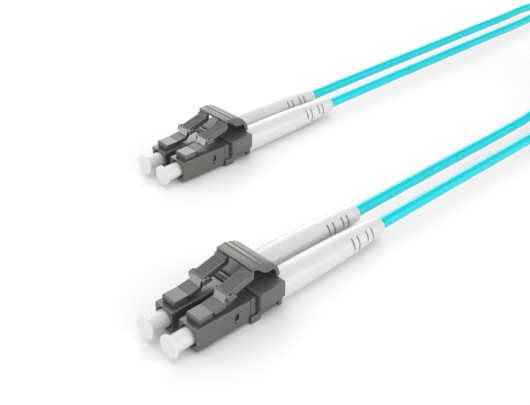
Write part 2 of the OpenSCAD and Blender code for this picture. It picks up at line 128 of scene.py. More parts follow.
@dataclass
class Shape:
    """One or more solids: points in millimetres, n by 3, and faces as lists of their indices."""

    points: np.ndarray
    faces: list[list[int]]

    def __add__(self, other: Shape) -> Shape:
        """Return both shapes as one."""
        shift = len(self.points)
        moved = [[i + shift for i in face] for face in other.faces]
        return Shape(np.vstack([self.points, other.points]), self.faces + moved)

    def mesh(self, name: str) -> bpy.types.Mesh:
        """Return a mesh in metres whose faces all point outwards."""
        mesh = bpy.data.meshes.new(name)
        mesh.from_pydata((self.points * MM).tolist(), [], self.faces)
        work = bmesh.new()
        work.from_mesh(mesh)
        bmesh.ops.recalc_face_normals(work, faces=work.faces)
        work.to_mesh(mesh)
        work.free()
        return mesh


def circle(diameter: float) -> np.ndarray:
    """Points of a circle, in the same order as those of rounded_square and half a step on."""
    step = (math.pi / 2) / CORNER_POINTS
    a = np.arange(4 * CORNER_POINTS) * step + step / 2
    return np.stack([np.cos(a), np.sin(a)], axis=1) * diameter / 2


def rounded_square(width: float) -> np.ndarray:
    """Points of a square whose corners are arcs."""
    quarter = np.repeat(np.arange(4), CORNER_POINTS)
    part = np.tile(np.linspace(0, 1, CORNER_POINTS), 4)
    a = (quarter + part) * math.pi / 2
    middle = (width / 2 - CORNER_R) * math.sqrt(2)
    corner = (quarter + 0.5) * math.pi / 2
    centre = np.stack([np.cos(corner), np.sin(corner)], axis=1) * middle
    return centre + CORNER_R * np.stack([np.cos(a), np.sin(a)], axis=1)


def tube_faces(rows: int, size: int, closed: bool) -> list[list[int]]:
    """Faces between rings of equal size.

    The last ring joins the first if closed is set; otherwise both ends are filled.
    """
    starts = np.arange(rows if closed else rows - 1)
    row, column = np.meshgrid(starts, np.arange(size), indexing="ij")
    here, there = row * size, (row + 1) % rows * size
    after = (column + 1) % size
    corners = [here + column, here + after, there + after, there + column]
    faces = np.stack([c.ravel() for c in corners], axis=1).tolist()
    if not closed:
        faces += [list(range(size)), list(range((rows - 1) * size, rows * size))]
    return faces


def loft(sections: Sequence[tuple[float, np.ndarray | float]], closed: bool) -> Shape:
    """Join rings that lie across the plug.

    Args:
        sections: place y and ring of x and z points, or a circle's diameter, along the surface.
        closed: whether the last ring joins the first; otherwise both ends are filled.
    """
    rings = []
    for y, ring in sections:
        ring = circle(ring) if np.isscalar(ring) else ring
        rings.append(np.column_stack([ring[:, 0], np.full(len(ring), y), ring[:, 1]]))
    return Shape(np.concatenate(rings), tube_faces(len(rings), len(rings[0]), closed))


def turned(profile: Outline, closed: bool = False) -> Shape:
    """Revolve points of radius and place y about the plug's axis."""
    return loft([(y, 2 * r) for r, y in profile], closed)


def prism(outline: Outline, low: float, high: float, axis: str = "x") -> Shape:
    """Extrude an outline of the two other axes, in their order, along one axis."""
    flat = np.asarray(outline, float)
    ends = [np.insert(flat, "xyz".index(axis), value, axis=1) for value in (low, high)]
    return Shape(np.concatenate(ends), tube_faces(2, len(flat), closed=False))


def slab(outline: Outline, half: float) -> Shape:
    """Extrude an outline of y and z by the same reach to both sides."""
    return prism(outline, -half, half)


def both_sides(outline: Outline, near: float, far: float) -> Shape:
    """Extrude an outline of y and z between two distances from the middle, on each side."""
    return prism(outline, -far, -near) + prism(outline, near, far)


def rectangle(y0: float, y1: float, z0: float, z1: float) -> list[Point]:
    """The outline of a rectangle."""
    return [(y0, z0), (y1, z0), (y1, z1), (y0, z1)]


def block(low: Triple, high: Triple) -> Shape:
    """A box between two corners."""
    (x0, y0, z0), (x1, y1, z1) = low, high
    return prism(rectangle(y0, y1, z0, z1), x0, x1)


def arc(centre: Point, radius: float, start: float, end: float, steps: int) -> list[Point]:
    """Points of an arc, with its angles in degrees."""
    a = np.radians(np.linspace(start, end, steps))
    return list(zip(centre[0] + radius * np.cos(a), centre[1] + radius * np.sin(a)))


def disc(centre: Point, radius: float) -> list[Point]:
    """Points of a small round outline."""
    return arc(centre, radius, 0, 345, 24)


def rounded_outline(corners: Sequence[Triple]) -> list[Point]:
    """Round an outline's corners with curves of the second degree.

    Each corner comes with the length that its rounding takes from the sides on both hands.
    """
    out = []
    for i, (x, z, cut) in enumerate(corners):
        here = np.array((x, z))
        before = np.array(corners[i - 1][:2]) - here
        after = np.array(corners[(i + 1) % len(corners)][:2]) - here
        if cut <= 0:
            out.append(tuple(here))
            continue
        a = here + before / np.linalg.norm(before) * cut
        b = here + after / np.linalg.norm(after) * cut
        for t in np.linspace(0, 1, ROUNDING_POINTS):
            out.append(tuple((1 - t) ** 2 * a + 2 * t * (1 - t) * here + t * t * b))
    return out


# ---- Meshes ----


def linked(name: str, data: bpy.types.ID) -> bpy.types.Object:
    """Make an object of a mesh, a curve or a camera in the scene."""
    obj = bpy.data.objects.new(name, data)
    bpy.context.scene.collection.objects.link(obj)
    return obj


def modify(obj: bpy.types.Object, kind: str, **settings: object) -> None:
    """Add a modifier with its settings."""
    modifier = obj.modifiers.new(kind.lower(), kind)
    for key, value in settings.items():
        setattr(modifier, key, value)


def bake(obj: bpy.types.Object, name: str) -> bpy.types.Mesh:
    """Return the mesh that an object's modifiers give, and remove the object."""
    bpy.context.view_layer.update()
    evaluated = obj.evaluated_get(bpy.context.evaluated_depsgraph_get())
    mesh = bpy.data.meshes.new_from_object(evaluated)
    mesh.name = name
    bpy.data.objects.remove(obj)
    return mesh


def solid(
    name: str,
    shape: Shape,
    bevel: float = 0.0,
    cuts: Sequence[Shape] = (),
    weighted: bool = True,
) -> bpy.types.Mesh:
    """Turn a shape into a finished mesh.

    Args:
        name: the mesh's name.
        shape: the solid before its edges are rounded.
        bevel: radius of the rounded edges, in millimetres.
        cuts: shapes that are taken away after the edges are rounded.
        weighted: whether large faces keep flat shading beside the rounded edges.

    Returns:
        The mesh, in metres, shaded smooth apart from its sharp edges.
    """
    work = linked(name, shape.mesh(name))
    if bevel:
        modify(
            work, "BEVEL", width=bevel * MM, segments=BEVEL_SEGMENTS, limit_method="ANGLE",
            angle_limit=BEVEL_ANGLE,
        )
    cutters = [linked(name + "_cut", cut.mesh(name + "_cut")) for cut in cuts]
    for cutter in cutters:
        modify(work, "BOOLEAN", object=cutter, operation="DIFFERENCE", solver="EXACT")
    mesh = bake(work, name)
    for cutter in cutters:
        bpy.data.objects.remove(cutter)
    mesh.shade_smooth()
    mesh.set_sharp_from_angle(angle=SHARP_ANGLE)
    if not weighted:
        return mesh
    work = linked(name, mesh)
    modify(work, "WEIGHTED_NORMAL", keep_sharp=True)
    return bake(work, name)


def merged(name: str, meshes: Sequence[bpy.types.Mesh]) -> bpy.types.Mesh:
    """Join meshes into one, with their own shading kept."""
    parts = [linked(name, mesh) for mesh in meshes]
    with bpy.context.temp_override(active_object=parts[0], selected_editable_objects=parts):
        bpy.ops.object.join()
    mesh = parts[0].data
    bpy.data.objects.remove(parts[0])
    mesh.name = name
    return mesh


def dulled(mesh: bpy.types.Mesh, above: float, amount: float) -> bpy.types.Mesh:
    """Make a mesh duller at its points above a height in millimetres, and return the mesh."""
    layer = mesh.attributes.new(SATIN, "FLOAT", "POINT")
    layer.data.foreach_set("value", [amount * (v.co.z > above * MM) for v in mesh.vertices])
    return mesh


# ---- Materials ----

SATIN = "satin"  # attribute of the places that are duller than the rest of their piece
SATIN_ROUGHNESS = 0.35
COAT_ROUGHNESS = 0.12
BUMP_STRENGTH = 0.6
GLOW_RADIUS = (0.0009,) * 3
DUST = (0.45, 0.45, 0.44, 1.0)
FLECK_GRAINS = 8  # grains to each fleck's cell
WIDE_PART = 0.06  # scale of the cloudiness beside that of the grain


class Graph:
    """Builds nodes in a tree with few words."""

    def __init__(self, tree: bpy.types.NodeTree) -> None:
        self.tree = tree

    def first(self, kind: str) -> bpy.types.Node:
        """Return the node of a type that the tree has from the start."""
        return next(n for n in self.tree.nodes if n.type == kind)

    def fill(self, node: bpy.types.Node, inputs: dict) -> None:
        """Give a node's inputs their values, or the sockets to link from."""
        for key, value in inputs.items():
            if isinstance(value, bpy.types.NodeSocket):
                self.tree.links.new(value, node.inputs[key])
            else:
                node.inputs[key].default_value = value

    def node(self, kind: str, inputs: dict | None = None, **settings: object) -> bpy.types.Node:
        """Add a node; inputs may hold values or sockets to link from."""
        made = self.tree.nodes.new(kind)
        for key, value in settings.items():
            setattr(made, key, value)
        self.fill(made, inputs or {})
        return made

    def math(self, operation: str, *values: object) -> bpy.types.NodeSocket:
        """Add a math node and return its output."""
        return self.node("ShaderNodeMath", dict(enumerate(values)), operation=operation).outputs[0]

    def blend(self, factor: object, first: object, second: object) -> bpy.types.NodeSocket:
        """Mix two colours and return the result."""
        inputs = {"Factor": factor, "A": first, "B": second}
        return self.node("ShaderNodeMix", inputs, data_type="RGBA").outputs["Result"]

    def place(self) -> bpy.types.NodeSocket:
        """Return the shaded point in its object's own coordinates."""
        return self.node("ShaderNodeTexCoord").outputs["Object"]

    def noise(self, *values: object) -> bpy.types.NodeSocket:
        """Add a noise texture, given its vector, scale, detail and roughness; return its value."""
        inputs = dict(zip(("Vector", "Scale", "Detail", "Roughness"), values))
        return self.node("ShaderNodeTexNoise", inputs).outputs["Fac"]


def effect_group(name: str, build: Callable[[Graph, dict], dict]) -> bpy.types.NodeTree:
    """Make a shader node group with the inputs Scale and Amount.

    Args:
        name: the group's name.
        build: adds nodes, given the group's graph and inputs, and returns its outputs by name.
    """
    tree = bpy.data.node_groups.new(name, "ShaderNodeTree")
    for label in ("Scale", "Amount"):
        tree.interface.new_socket(label, in_out="INPUT", socket_type="NodeSocketFloat")
    graph = Graph(tree)
    outputs = build(graph, graph.node("NodeGroupInput").outputs)
    for label in outputs:
        tree.interface.new_socket(label, in_out="OUTPUT", socket_type="NodeSocketFloat")
    graph.node("NodeGroupOutput", outputs)
    return tree


def build_grain(graph: Graph, given: dict) -> dict:
    """The fine even grain that a spark-eroded mould leaves, and the cloudiness of its gloss."""
    place = graph.place()
    fine = graph.noise(place, given["Scale"], 4.0, 0.65)
    wide = graph.noise(place, graph.math("MULTIPLY", given["Scale"], WIDE_PART), 2.0, 0.5)
    gloss = graph.math("MULTIPLY", wide, given["Amount"])
    return {"Height": fine, "Gloss": gloss, "Shade": wide}


def build_speckle(graph: Graph, given: dict) -> dict:
    """Sparse small flecks, as in soft rubbery plastic that has picked up dust."""
    cells = graph.node("ShaderNodeTexVoronoi", {"Vector": graph.place(), "Scale": given["Scale"]})
    fade = {"From Min": 0.05, "From Max": 0.12, "To Min": 1.0, "To Max": 0.0}
    fleck = graph.node("ShaderNodeMapRange", {"Value": cells.outputs["Distance"], **fade})
    return {"Fleck": graph.math("MULTIPLY", fleck.outputs["Result"], given["Amount"])}


def build_strands(graph: Graph, given: dict) -> dict:
    """Fine strands that run along the plug, as drawn metal or a bundle of yarn has."""
    stretched = graph.node(
        "ShaderNodeMapping", {"Vector": graph.place(), "Scale": (1.0, 0.04, 1.0)}
    )
    lines = graph.noise(stretched.outputs["Vector"], given["Scale"], 3.0, 0.6)
    gloss = graph.math("MULTIPLY", lines, given["Amount"])
    return {"Height": lines, "Gloss": gloss, "Shade": lines}


@dataclass(frozen=True)
class Finish:
    """How one material looks."""

    colour: Triple  # linear base colour
    second: Triple  # linear colour that the cloudiness or the strands mix in
    roughness: float  # least roughness
    spread: float = 0.1  # how much the roughness varies
    metallic: float = 0.0
    coat: float = 0.0  # weight of a clear top layer
    grain_scale: float = 9000.0  # grains in each metre
    bump_mm: float = 0.002  # height of the grain in millimetres
    strands: bool = False  # whether the grain runs along the plug
    fleck: float = 0.0  # strength of small flecks
    glow: float = 0.0  # weight of light that travels under the surface
    gloss: float = 0.5  # strength of the mirror part, 0.5 for common plastic
    tint: Triple = (1.0, 1.0, 1.0)  # colour of the mirror part where it faces the viewer


FINISHES: dict[Slot, Finish] = {
    Slot.CONNECTOR: Finish(
        (0.088, 0.090, 0.078), (0.078, 0.080, 0.069), 0.19, 0.08, gloss=0.95, tint=(1.0, 1.0, 0.92)
    ),
    Slot.FERRULE: Finish(
        (0.88, 0.87, 0.83), (0.84, 0.83, 0.79), 0.10, 0.05, coat=0.4, bump_mm=0.0004
    ),
    Slot.STEEL: Finish(
        (0.60, 0.60, 0.58), (0.50, 0.50, 0.49), 0.24, 0.16, metallic=1.0, grain_scale=16000.0,
        strands=True,
    ),
    Slot.YARN: Finish(
        (0.66, 0.46, 0.10), (0.48, 0.32, 0.06), 0.62, 0.2, grain_scale=24000.0, bump_mm=0.02,
        strands=True,
    ),
    Slot.BOOT: Finish(
        (0.675, 0.675, 0.675), (0.635, 0.635, 0.64), 0.28, 0.08, grain_scale=6000.0, fleck=0.03,
        glow=0.05, gloss=0.6,
    ),
    Slot.CAP: Finish(
        (0.70, 0.70, 0.70), (0.66, 0.66, 0.665), 0.30, 0.10, grain_scale=5000.0, coat=0.1, glow=0.15
    ),
    Slot.BUFFER: Finish((0.80, 0.80, 0.74), (0.75, 0.75, 0.69), 0.35, 0.1),
    Slot.JACKET: Finish(
        (0.011, 0.60, 0.66), (0.009, 0.55, 0.61), 0.20, 0.08, grain_scale=5000.0, gloss=0.8,
        tint=(0.2, 1.0, 1.0),
    ),
}


class Paints:
    """Makes each slot's material once, from three shared effect groups."""

    def __init__(self) -> None:
        self.grain = effect_group("moulded_grain", build_grain)
        self.speckle = effect_group("flecks", build_speckle)
        self.strands = effect_group("strands", build_strands)
        self.made: dict[Slot, bpy.types.Material] = {}

    def __getitem__(self, slot: Slot) -> bpy.types.Material:
        if slot not in self.made:
            self.made[slot] = self.paint(slot, FINISHES[slot])
        return self.made[slot]

    def paint(self, slot: Slot, finish: Finish) -> bpy.types.Material:
        """Make the material of one slot, named after it."""
        material = bpy.data.materials.new(slot.value)
        material.use_nodes = True
        graph = Graph(material.node_tree)
        effect = graph.node(
            "ShaderNodeGroup",
            {"Scale": finish.grain_scale, "Amount": finish.spread},
            node_tree=self.strands if finish.strands else self.grain,
        ).outputs
        colour = graph.blend(effect["Shade"], (*finish.colour, 1.0), (*finish.second, 1.0))
        if finish.fleck:
            flecks = graph.node(
                "ShaderNodeGroup",
                {"Scale": finish.grain_scale / FLECK_GRAINS, "Amount": finish.fleck},
                node_tree=self.speckle,
            )
            colour = graph.blend(flecks.outputs["Fleck"], colour, DUST)
        satin = graph.node("ShaderNodeAttribute", attribute_name=SATIN)
        dull = graph.math("MULTIPLY", satin.outputs["Fac"], SATIN_ROUGHNESS)
        even = graph.math("ADD", effect["Gloss"], finish.roughness)
        relief = {"Distance": finish.bump_mm * MM, "Strength": BUMP_STRENGTH}
        bump = graph.node("ShaderNodeBump", {"Height": effect["Height"], **relief})
        look = {
            "Base Color": colour,
            "Roughness": graph.math("ADD", even, dull),
            "Normal": bump.outputs["Normal"],
            "Metallic": finish.metallic,
            "Specular IOR Level": finish.gloss,
            "Specular Tint": (*finish.tint, 1.0),
            "Coat Weight": finish.coat,
            "Coat Roughness": COAT_ROUGHNESS,
        }
        if finish.glow:
            look |= {
                "Subsurface Weight": finish.glow,
                "Subsurface Radius": GLOW_RADIUS,
                "Subsurface Scale": 1.0,
            }
        graph.fill(graph.first("BSDF_PRINCIPLED"), look)
        return material


# ---- Places ----


@dataclass(frozen=True)
class Place:
    """Where a plug or an end lies in the frame."""

    tag: str  # end of its CAD nodes' names, such as a_left or b
    origin: Vector  # the point on its axis at the front face of the housings, in metres


def plug_places() -> list[Place]:
    """Read the four plugs' places from the CAD model's ferrules and housings."""
    places = []
    for tag in ("a_left", "a_right", "b_left", "b_right"):
        low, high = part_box(f"ferrule_{tag}")
        front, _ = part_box(f"housing_{tag}")
        places.append(Place(tag, Vector(((low.x + high.x) / 2, front.y, (low.z + high.z) / 2))))
    return places


def end_places(plugs: Sequence[Place]) -> list[Place]:
    """Each end lies midway between its two plugs."""
    pairs = {tag: [p.origin for p in plugs if p.tag.startswith(tag)] for tag in ("a", "b")}
    return [Place(tag, (first + second) / 2) for tag, (first, second) in pairs.items()]


class Piece:
    """A kind of piece: one template mesh, and a copy of it at each place."""

    node = ""
    slot = Slot.CONNECTOR
    body = "ends_and_cords"

    def template(self) -> bpy.types.Mesh:
        """Return the piece's mesh in its plug's or end's own frame, in metres."""
        raise NotImplementedError

    def follow(self, obj: bpy.types.Object, place: Place) -> None:
        """Make a piece follow more than its body; most pieces don't."""

    def put(self, places: Sequence[Place], paints: Paints) -> None:
        """Place a copy of the template at each place, riding on its body."""
        mesh = self.template()
        for place in places:
            copy = mesh.copy()
            copy.transform(Matrix.Translation(place.origin))
            copy.materials.clear()
            copy.materials.append(paints[self.slot])
            name = f"{self.node}_{place.tag}"
            obj = linked(name + "_shown", copy)
            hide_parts(name)
            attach(obj, self.body.format(tag=place.tag))
            self.follow(obj, place)
        bpy.data.meshes.remove(mesh)
        LOG.info("placed %s at %d places", self.node, len(places))


# ---- Plug ----

HOUSING_W = 4.5
HOUSING_L = 11.9
EDGE = 0.08  # chamfer of the housing and the collar
NOSE_BORE_D = 3.35
LATCH_HINGE = (4.1, 2.95)
LATCH_W = 2.8
ROOT_W = 3.2
ROOT_TOP = 3.5
COLLAR_BACK = 13.35
ROUND_D = 4.4
SPRING_SEAT = 11.5


@dataclass
class Housing(Piece):
    """Square nose and body with a stepped bore, side windows and the latch's root block."""

    node = "housing"
    mouth_d: float = 4.2
    flange_y: float = 3.4  # where the bore narrows to the ferrule's
    ferrule_d: float = 2.3
    body_y: float = 4.35  # and where it widens again
    body_d: float = 3.3
    window: tuple[float, ...] = (8.27, 9.24, -0.4, 0.98)  # y and z, each from and to
    mark: tuple[float, ...] = (8.5, -0.8, 0.19)  # y, z and radius
    mark_depth: float = 0.25
    shelf: float = 2.42
    pocket_r: float = 0.42

    def template(self) -> bpy.types.Mesh:
        w, nose_d = HOUSING_W, NOSE_BORE_D
        outer, almost, inner = (rounded_square(w - part * EDGE) for part in (0, 0.6, 2))
        body = loft(
            [
                (HOUSING_L, self.body_d), (HOUSING_L, inner), (HOUSING_L - 0.3 * EDGE, almost),
                (HOUSING_L - EDGE, outer), (EDGE, outer), (0.3 * EDGE, almost), (0.0, inner),
                (0.0, self.mouth_d), (0.5, nose_d + 0.1), (0.6, nose_d), (self.flange_y, nose_d),
                (self.flange_y, self.ferrule_d), (self.body_y, self.ferrule_d),
                (self.body_y, self.body_d),
            ],
            closed=True,
        )
        y0, y1, z0, z1 = self.window
        y, z, r = self.mark
        cuts = [
            block((-w, y0, z0), (w, y1, z1)),
            both_sides(disc((y, z), r), w / 2 - self.mark_depth, w),
        ]
        return merged("housing", [solid("housing", body, cuts=cuts), self.root()])

    def root(self) -> bpy.types.Mesh:
        """The block that the latch arm grows from, hollowed behind for the arm's knuckle."""
        half, shelf, inset = ROOT_W / 2, self.shelf, 0.15
        back = LATCH_HINGE[0] + inset
        outline = [(1.05, shelf), (1.05, 3.28), (1.25, ROOT_TOP), (back, ROOT_TOP), (back, shelf)]
        foot = block((inset - half, 1.2, 1.95), (half - inset, back, shelf + 0.1))
        pocket = slab(disc(LATCH_HINGE, self.pocket_r), ROOT_W)
        top = solid("root", slab(outline, half), bevel=0.05, cuts=[pocket])
        return merged("root", [top, solid("root_foot", foot, cuts=[pocket])])


@dataclass
class Latch(Piece):
    """Flexible arm with a steep step, two catch lugs and a raised tip."""

    node = "latch"
    body = "latch_{tag}"
    slope: float = 13.4
    thickness: float = 1.18
    step: Point = (7.15, 5.05)
    knuckle_r: float = 0.38
    lug_reach: float = 2.05
    groove_y: Point = (7.75, 12.3)
    groove_depth: float = 0.09
    groove_half: float = 0.085

    def top(self, y: float) -> float:
        """Height of the raised arm's top at a place y."""
        return self.step[1] + (y - self.step[0]) * math.tan(math.radians(self.slope))

    def template(self) -> bpy.types.Mesh:
        front = LATCH_HINGE[0] + 0.2
        half, root_half = LATCH_W / 2, ROOT_W / 2
        arm = rounded_outline(
            [
                (6.2, 3.76, 0.0), (6.68, 3.82, 0.03), (7.25, self.top(7.25), 0.03),
                (12.5, self.top(12.5), 0.06), (12.55, 6.72, 0.06), (12.85, 6.75, 0.05),
                (12.9, 6.98, 0.05), (13.45, 6.97, 0.08), (13.5, 5.75, 0.1),
                (13.2, self.top(13.2) - self.thickness, 0.1),
                (8.1, self.top(8.1) - self.thickness, 0.5), (7.0, 2.9, 0.2), (6.2, 2.85, 0.0),
            ]
        )
        lower = [(front, ROOT_TOP), (6.8, 3.83), (6.94, 2.9), (front, 2.6)]
        lug = [(7.2, 4.05), (7.2, 4.85), (7.35, 5.1), (8.45, 5.12), (9.1, 4.62), (9.1, 4.3)]
        notch = block((-1.9, 7.62, 4.98), (1.9, 8.12, 5.6))
        catch = both_sides(lug, half - 0.2, self.lug_reach)
        neck = block((-root_half, LATCH_HINGE[0], 2.68), (root_half, front + 0.2, 3.22))
        return merged(
            "latch",
            [
                solid("arm", slab(arm, half), bevel=0.06, cuts=[self.grooves()]),
                solid("lower_arm", slab(lower, root_half), bevel=0.05),
                solid("catch", catch, bevel=0.05, cuts=[notch]),
                solid("knuckle", slab(disc(LATCH_HINGE, self.knuckle_r), root_half)),
                solid("neck", neck),
            ],
        )

    def grooves(self) -> Shape:
        """Cutters of the shallow grip grooves along the top of the raised arm."""
        start, end = self.groove_y
        floor = [(y, self.top(y) - self.groove_depth) for y in (start, end)]
        outline = floor + [(end, self.top(end) + 1), (start, self.top(start) + 1)]
        first, *others = (
            prism(outline, x - self.groove_half, x + self.groove_half)
            for x in (-0.9, -0.45, 0.0, 0.45, 0.9)
        )
        return sum(others, first)


@dataclass
class RearBody(Piece):
    """Sleeve, snap lugs, square collar, round part and crimp post."""

    node = "rear_body"
    sleeve: tuple[float, ...] = (8.0, 3.2, 2.7)  # start, outer and inner diameter
    post: tuple[float, ...] = (16.6, 20.6, 3.0, 1.3)  # start, end, outer and inner diameter
    groove: float = 0.08  # between the housing and the collar
    lug: tuple[float, ...] = (8.28, 9.23, -0.39, 0.97)  # y and z, each from and to
    lug_reach: Point = (1.4, 1.84)

    def template(self) -> bpy.types.Mesh:
        outer, inner, neck = (rounded_square(HOUSING_W - cut) for cut in (0, 2 * EDGE, 0.36))
        front, back, seat = HOUSING_L, COLLAR_BACK, SPRING_SEAT
        start, sleeve_d, sleeve_bore = self.sleeve
        post, end, post_d, post_bore = self.post
        body = loft(
            [
                (start, sleeve_d), (front, sleeve_d), (front, neck), (front + self.groove, neck),
                (front + self.groove, inner), (front + EDGE + 0.06, outer), (back - EDGE, outer),
                (back, inner), (back, ROUND_D), (post, ROUND_D), (post, post_d), (end, post_d),
                (end, post_bore), (seat, post_bore), (seat, sleeve_bore), (start, sleeve_bore),
            ],
            closed=True,
        )
        lugs = both_sides(rectangle(*self.lug), *self.lug_reach)
        return merged("rear_body", [solid("rear_body", body), solid("lugs", lugs, bevel=0.02)])


@dataclass
class Boot(Piece):
    """Tapered strain relief with four blind slits on each side near its tail."""

    node = "boot"
    slot = Slot.BOOT
    start: float = 19.25
    length: float = 28.95
    front_r: float = 2.85
    tail_r: float = 1.85
    round_r: float = 0.42
    slits: tuple[Triple, ...] = (  # y from the start, and angles from and to
        (19.15, 0, 56), (20.7, -32, 54), (23.3, 0, 56), (24.85, -32, 54)
    )
    slit_w: float = 0.42
    slit_depth: float = 0.8

    def radius(self, y: float) -> float:
        """Outer radius at a place y; the taper grows with the power 2.5 of the way along."""
        t = (y - self.start) / self.length
        return self.tail_r + (self.front_r - self.tail_r) * (1 - t**2.5)

    def template(self) -> bpy.types.Mesh:
        start, end = self.start, self.start + self.length
        outside = [(self.front_r - 0.1, start), (self.front_r - 0.03, start + 0.03)]
        along = np.linspace(start + 0.12, end - self.round_r, 56)
        outside += [(self.radius(y), y) for y in along]
        tail = arc((end - self.round_r, self.tail_r - self.round_r), self.round_r, 80, 0, 6)
        outside += [(r, y) for y, r in tail]
        inside = [
            (1.25, end), (1.2, end - 0.1), (1.2, 23.9), (1.55, 23.9), (1.55, 20.9), (1.95, 20.9),
            (1.95, start),
        ]
        body = turned(outside + inside, closed=True)
        return solid("boot", body, cuts=[self.slit(*slit) for slit in self.slits], weighted=False)

    def slit(self, y: float, low: float, high: float) -> Shape:
        """The two cutters of one slit: a sector of a ring on each side of the boot."""
        middle = self.start + y
        floor, beyond = self.radius(middle) - self.slit_depth, 4.0
        y0, y1 = middle - self.slit_w / 2, middle + self.slit_w / 2
        left, right = (
            prism(arc((0, 0), floor, a, b, 14) + arc((0, 0), beyond, b, a, 14), y0, y1, axis="y")
            for a, b in ((low, high), (180 - high, 180 - low))
        )
        return left + right


@dataclass
class Spring(Piece):
    """Wire helix behind the ferrule holder's flange."""

    node = "spring"
    slot = Slot.STEEL
    flange: float = 6.37
    seat: float = SPRING_SEAT
    middle_r: float = 1.1
    wire_r: float = 0.15
    curls: int = 6
    curl_points: int = 24
    wire_points: int = 10
    give: float = 0.8

    def template(self) -> bpy.types.Mesh:
        turn = np.linspace(0, 2 * np.pi * self.curls, self.curl_points * self.curls + 1)[:, None]
        ring = np.linspace(0, 2 * np.pi, self.wire_points, endpoint=False)[None, :]
        start, end = self.flange + self.wire_r + 0.01, self.seat - self.wire_r - 0.01
        r = self.middle_r + self.wire_r * np.cos(ring)
        y = start + (end - start) * turn / turn[-1] + self.wire_r * np.sin(ring)
        points = np.stack([r * np.cos(turn), y, r * np.sin(turn)], axis=-1)
        faces = tube_faces(*points.shape[:2], closed=False)
        mesh = Shape(points.reshape(-1, 3), faces).mesh("spring")
        for polygon in mesh.polygons:
            polygon.use_smooth = len(polygon.vertices) == 4
        return mesh

    def follow(self, obj: bpy.types.Object, place: Place) -> None:
        """Give the spring a mesh of its own; it is not shortened."""
        seat = place.origin + Vector((0, self.seat * MM, 0))
        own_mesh(obj)


@dataclass
class DustCap(Piece):
    """Round cap: a disc on a stem that goes into the nose and over the ferrule."""

    node = "dust_cap"
    slot = Slot.CAP
    body = "dust_cap_{tag}"
    front: float = -4.1
    back: float = -3.6
    disc_r: float = 2.175
    stem_r: float = 1.6
    stem_end: float = 3.38
    edge: float = 0.12
    bore_r: float = 0.65
    bore_end: float = -2.3

    def template(self) -> bpy.types.Mesh:
        edge, back, stem_r, end = self.edge, self.back, self.stem_r, self.stem_end
        rim = arc((self.front + edge, self.disc_r - edge), edge, 180, 90, 6)
        rim += arc((back - edge, self.disc_r - edge), edge, 90, 0, 6)
        profile = [(NEAR_AXIS, self.front)] + [(r, y) for y, r in rim]
        profile += [(stem_r + 0.12, back), (stem_r + 0.03, back + 0.04), (stem_r, back + 0.14)]
        profile += [(stem_r, end - 0.15), (stem_r - 0.15, end), (self.bore_r + 0.01, end)]
        profile += [(self.bore_r, end - 0.05), (self.bore_r, self.bore_end)]
        profile += [(NEAR_AXIS, self.bore_end)]
        return solid("dust_cap", turned(profile), weighted=False)


# ---- Clip and trigger ----

CLIP_FRONT = COLLAR_BACK
CLIP_BACK = 19.2
CLIP_TOP = 3.05
SIDE_X = 3.125  # a plug's axis from the middle
TRIGGER_HINGE = (18.7, 2.75)


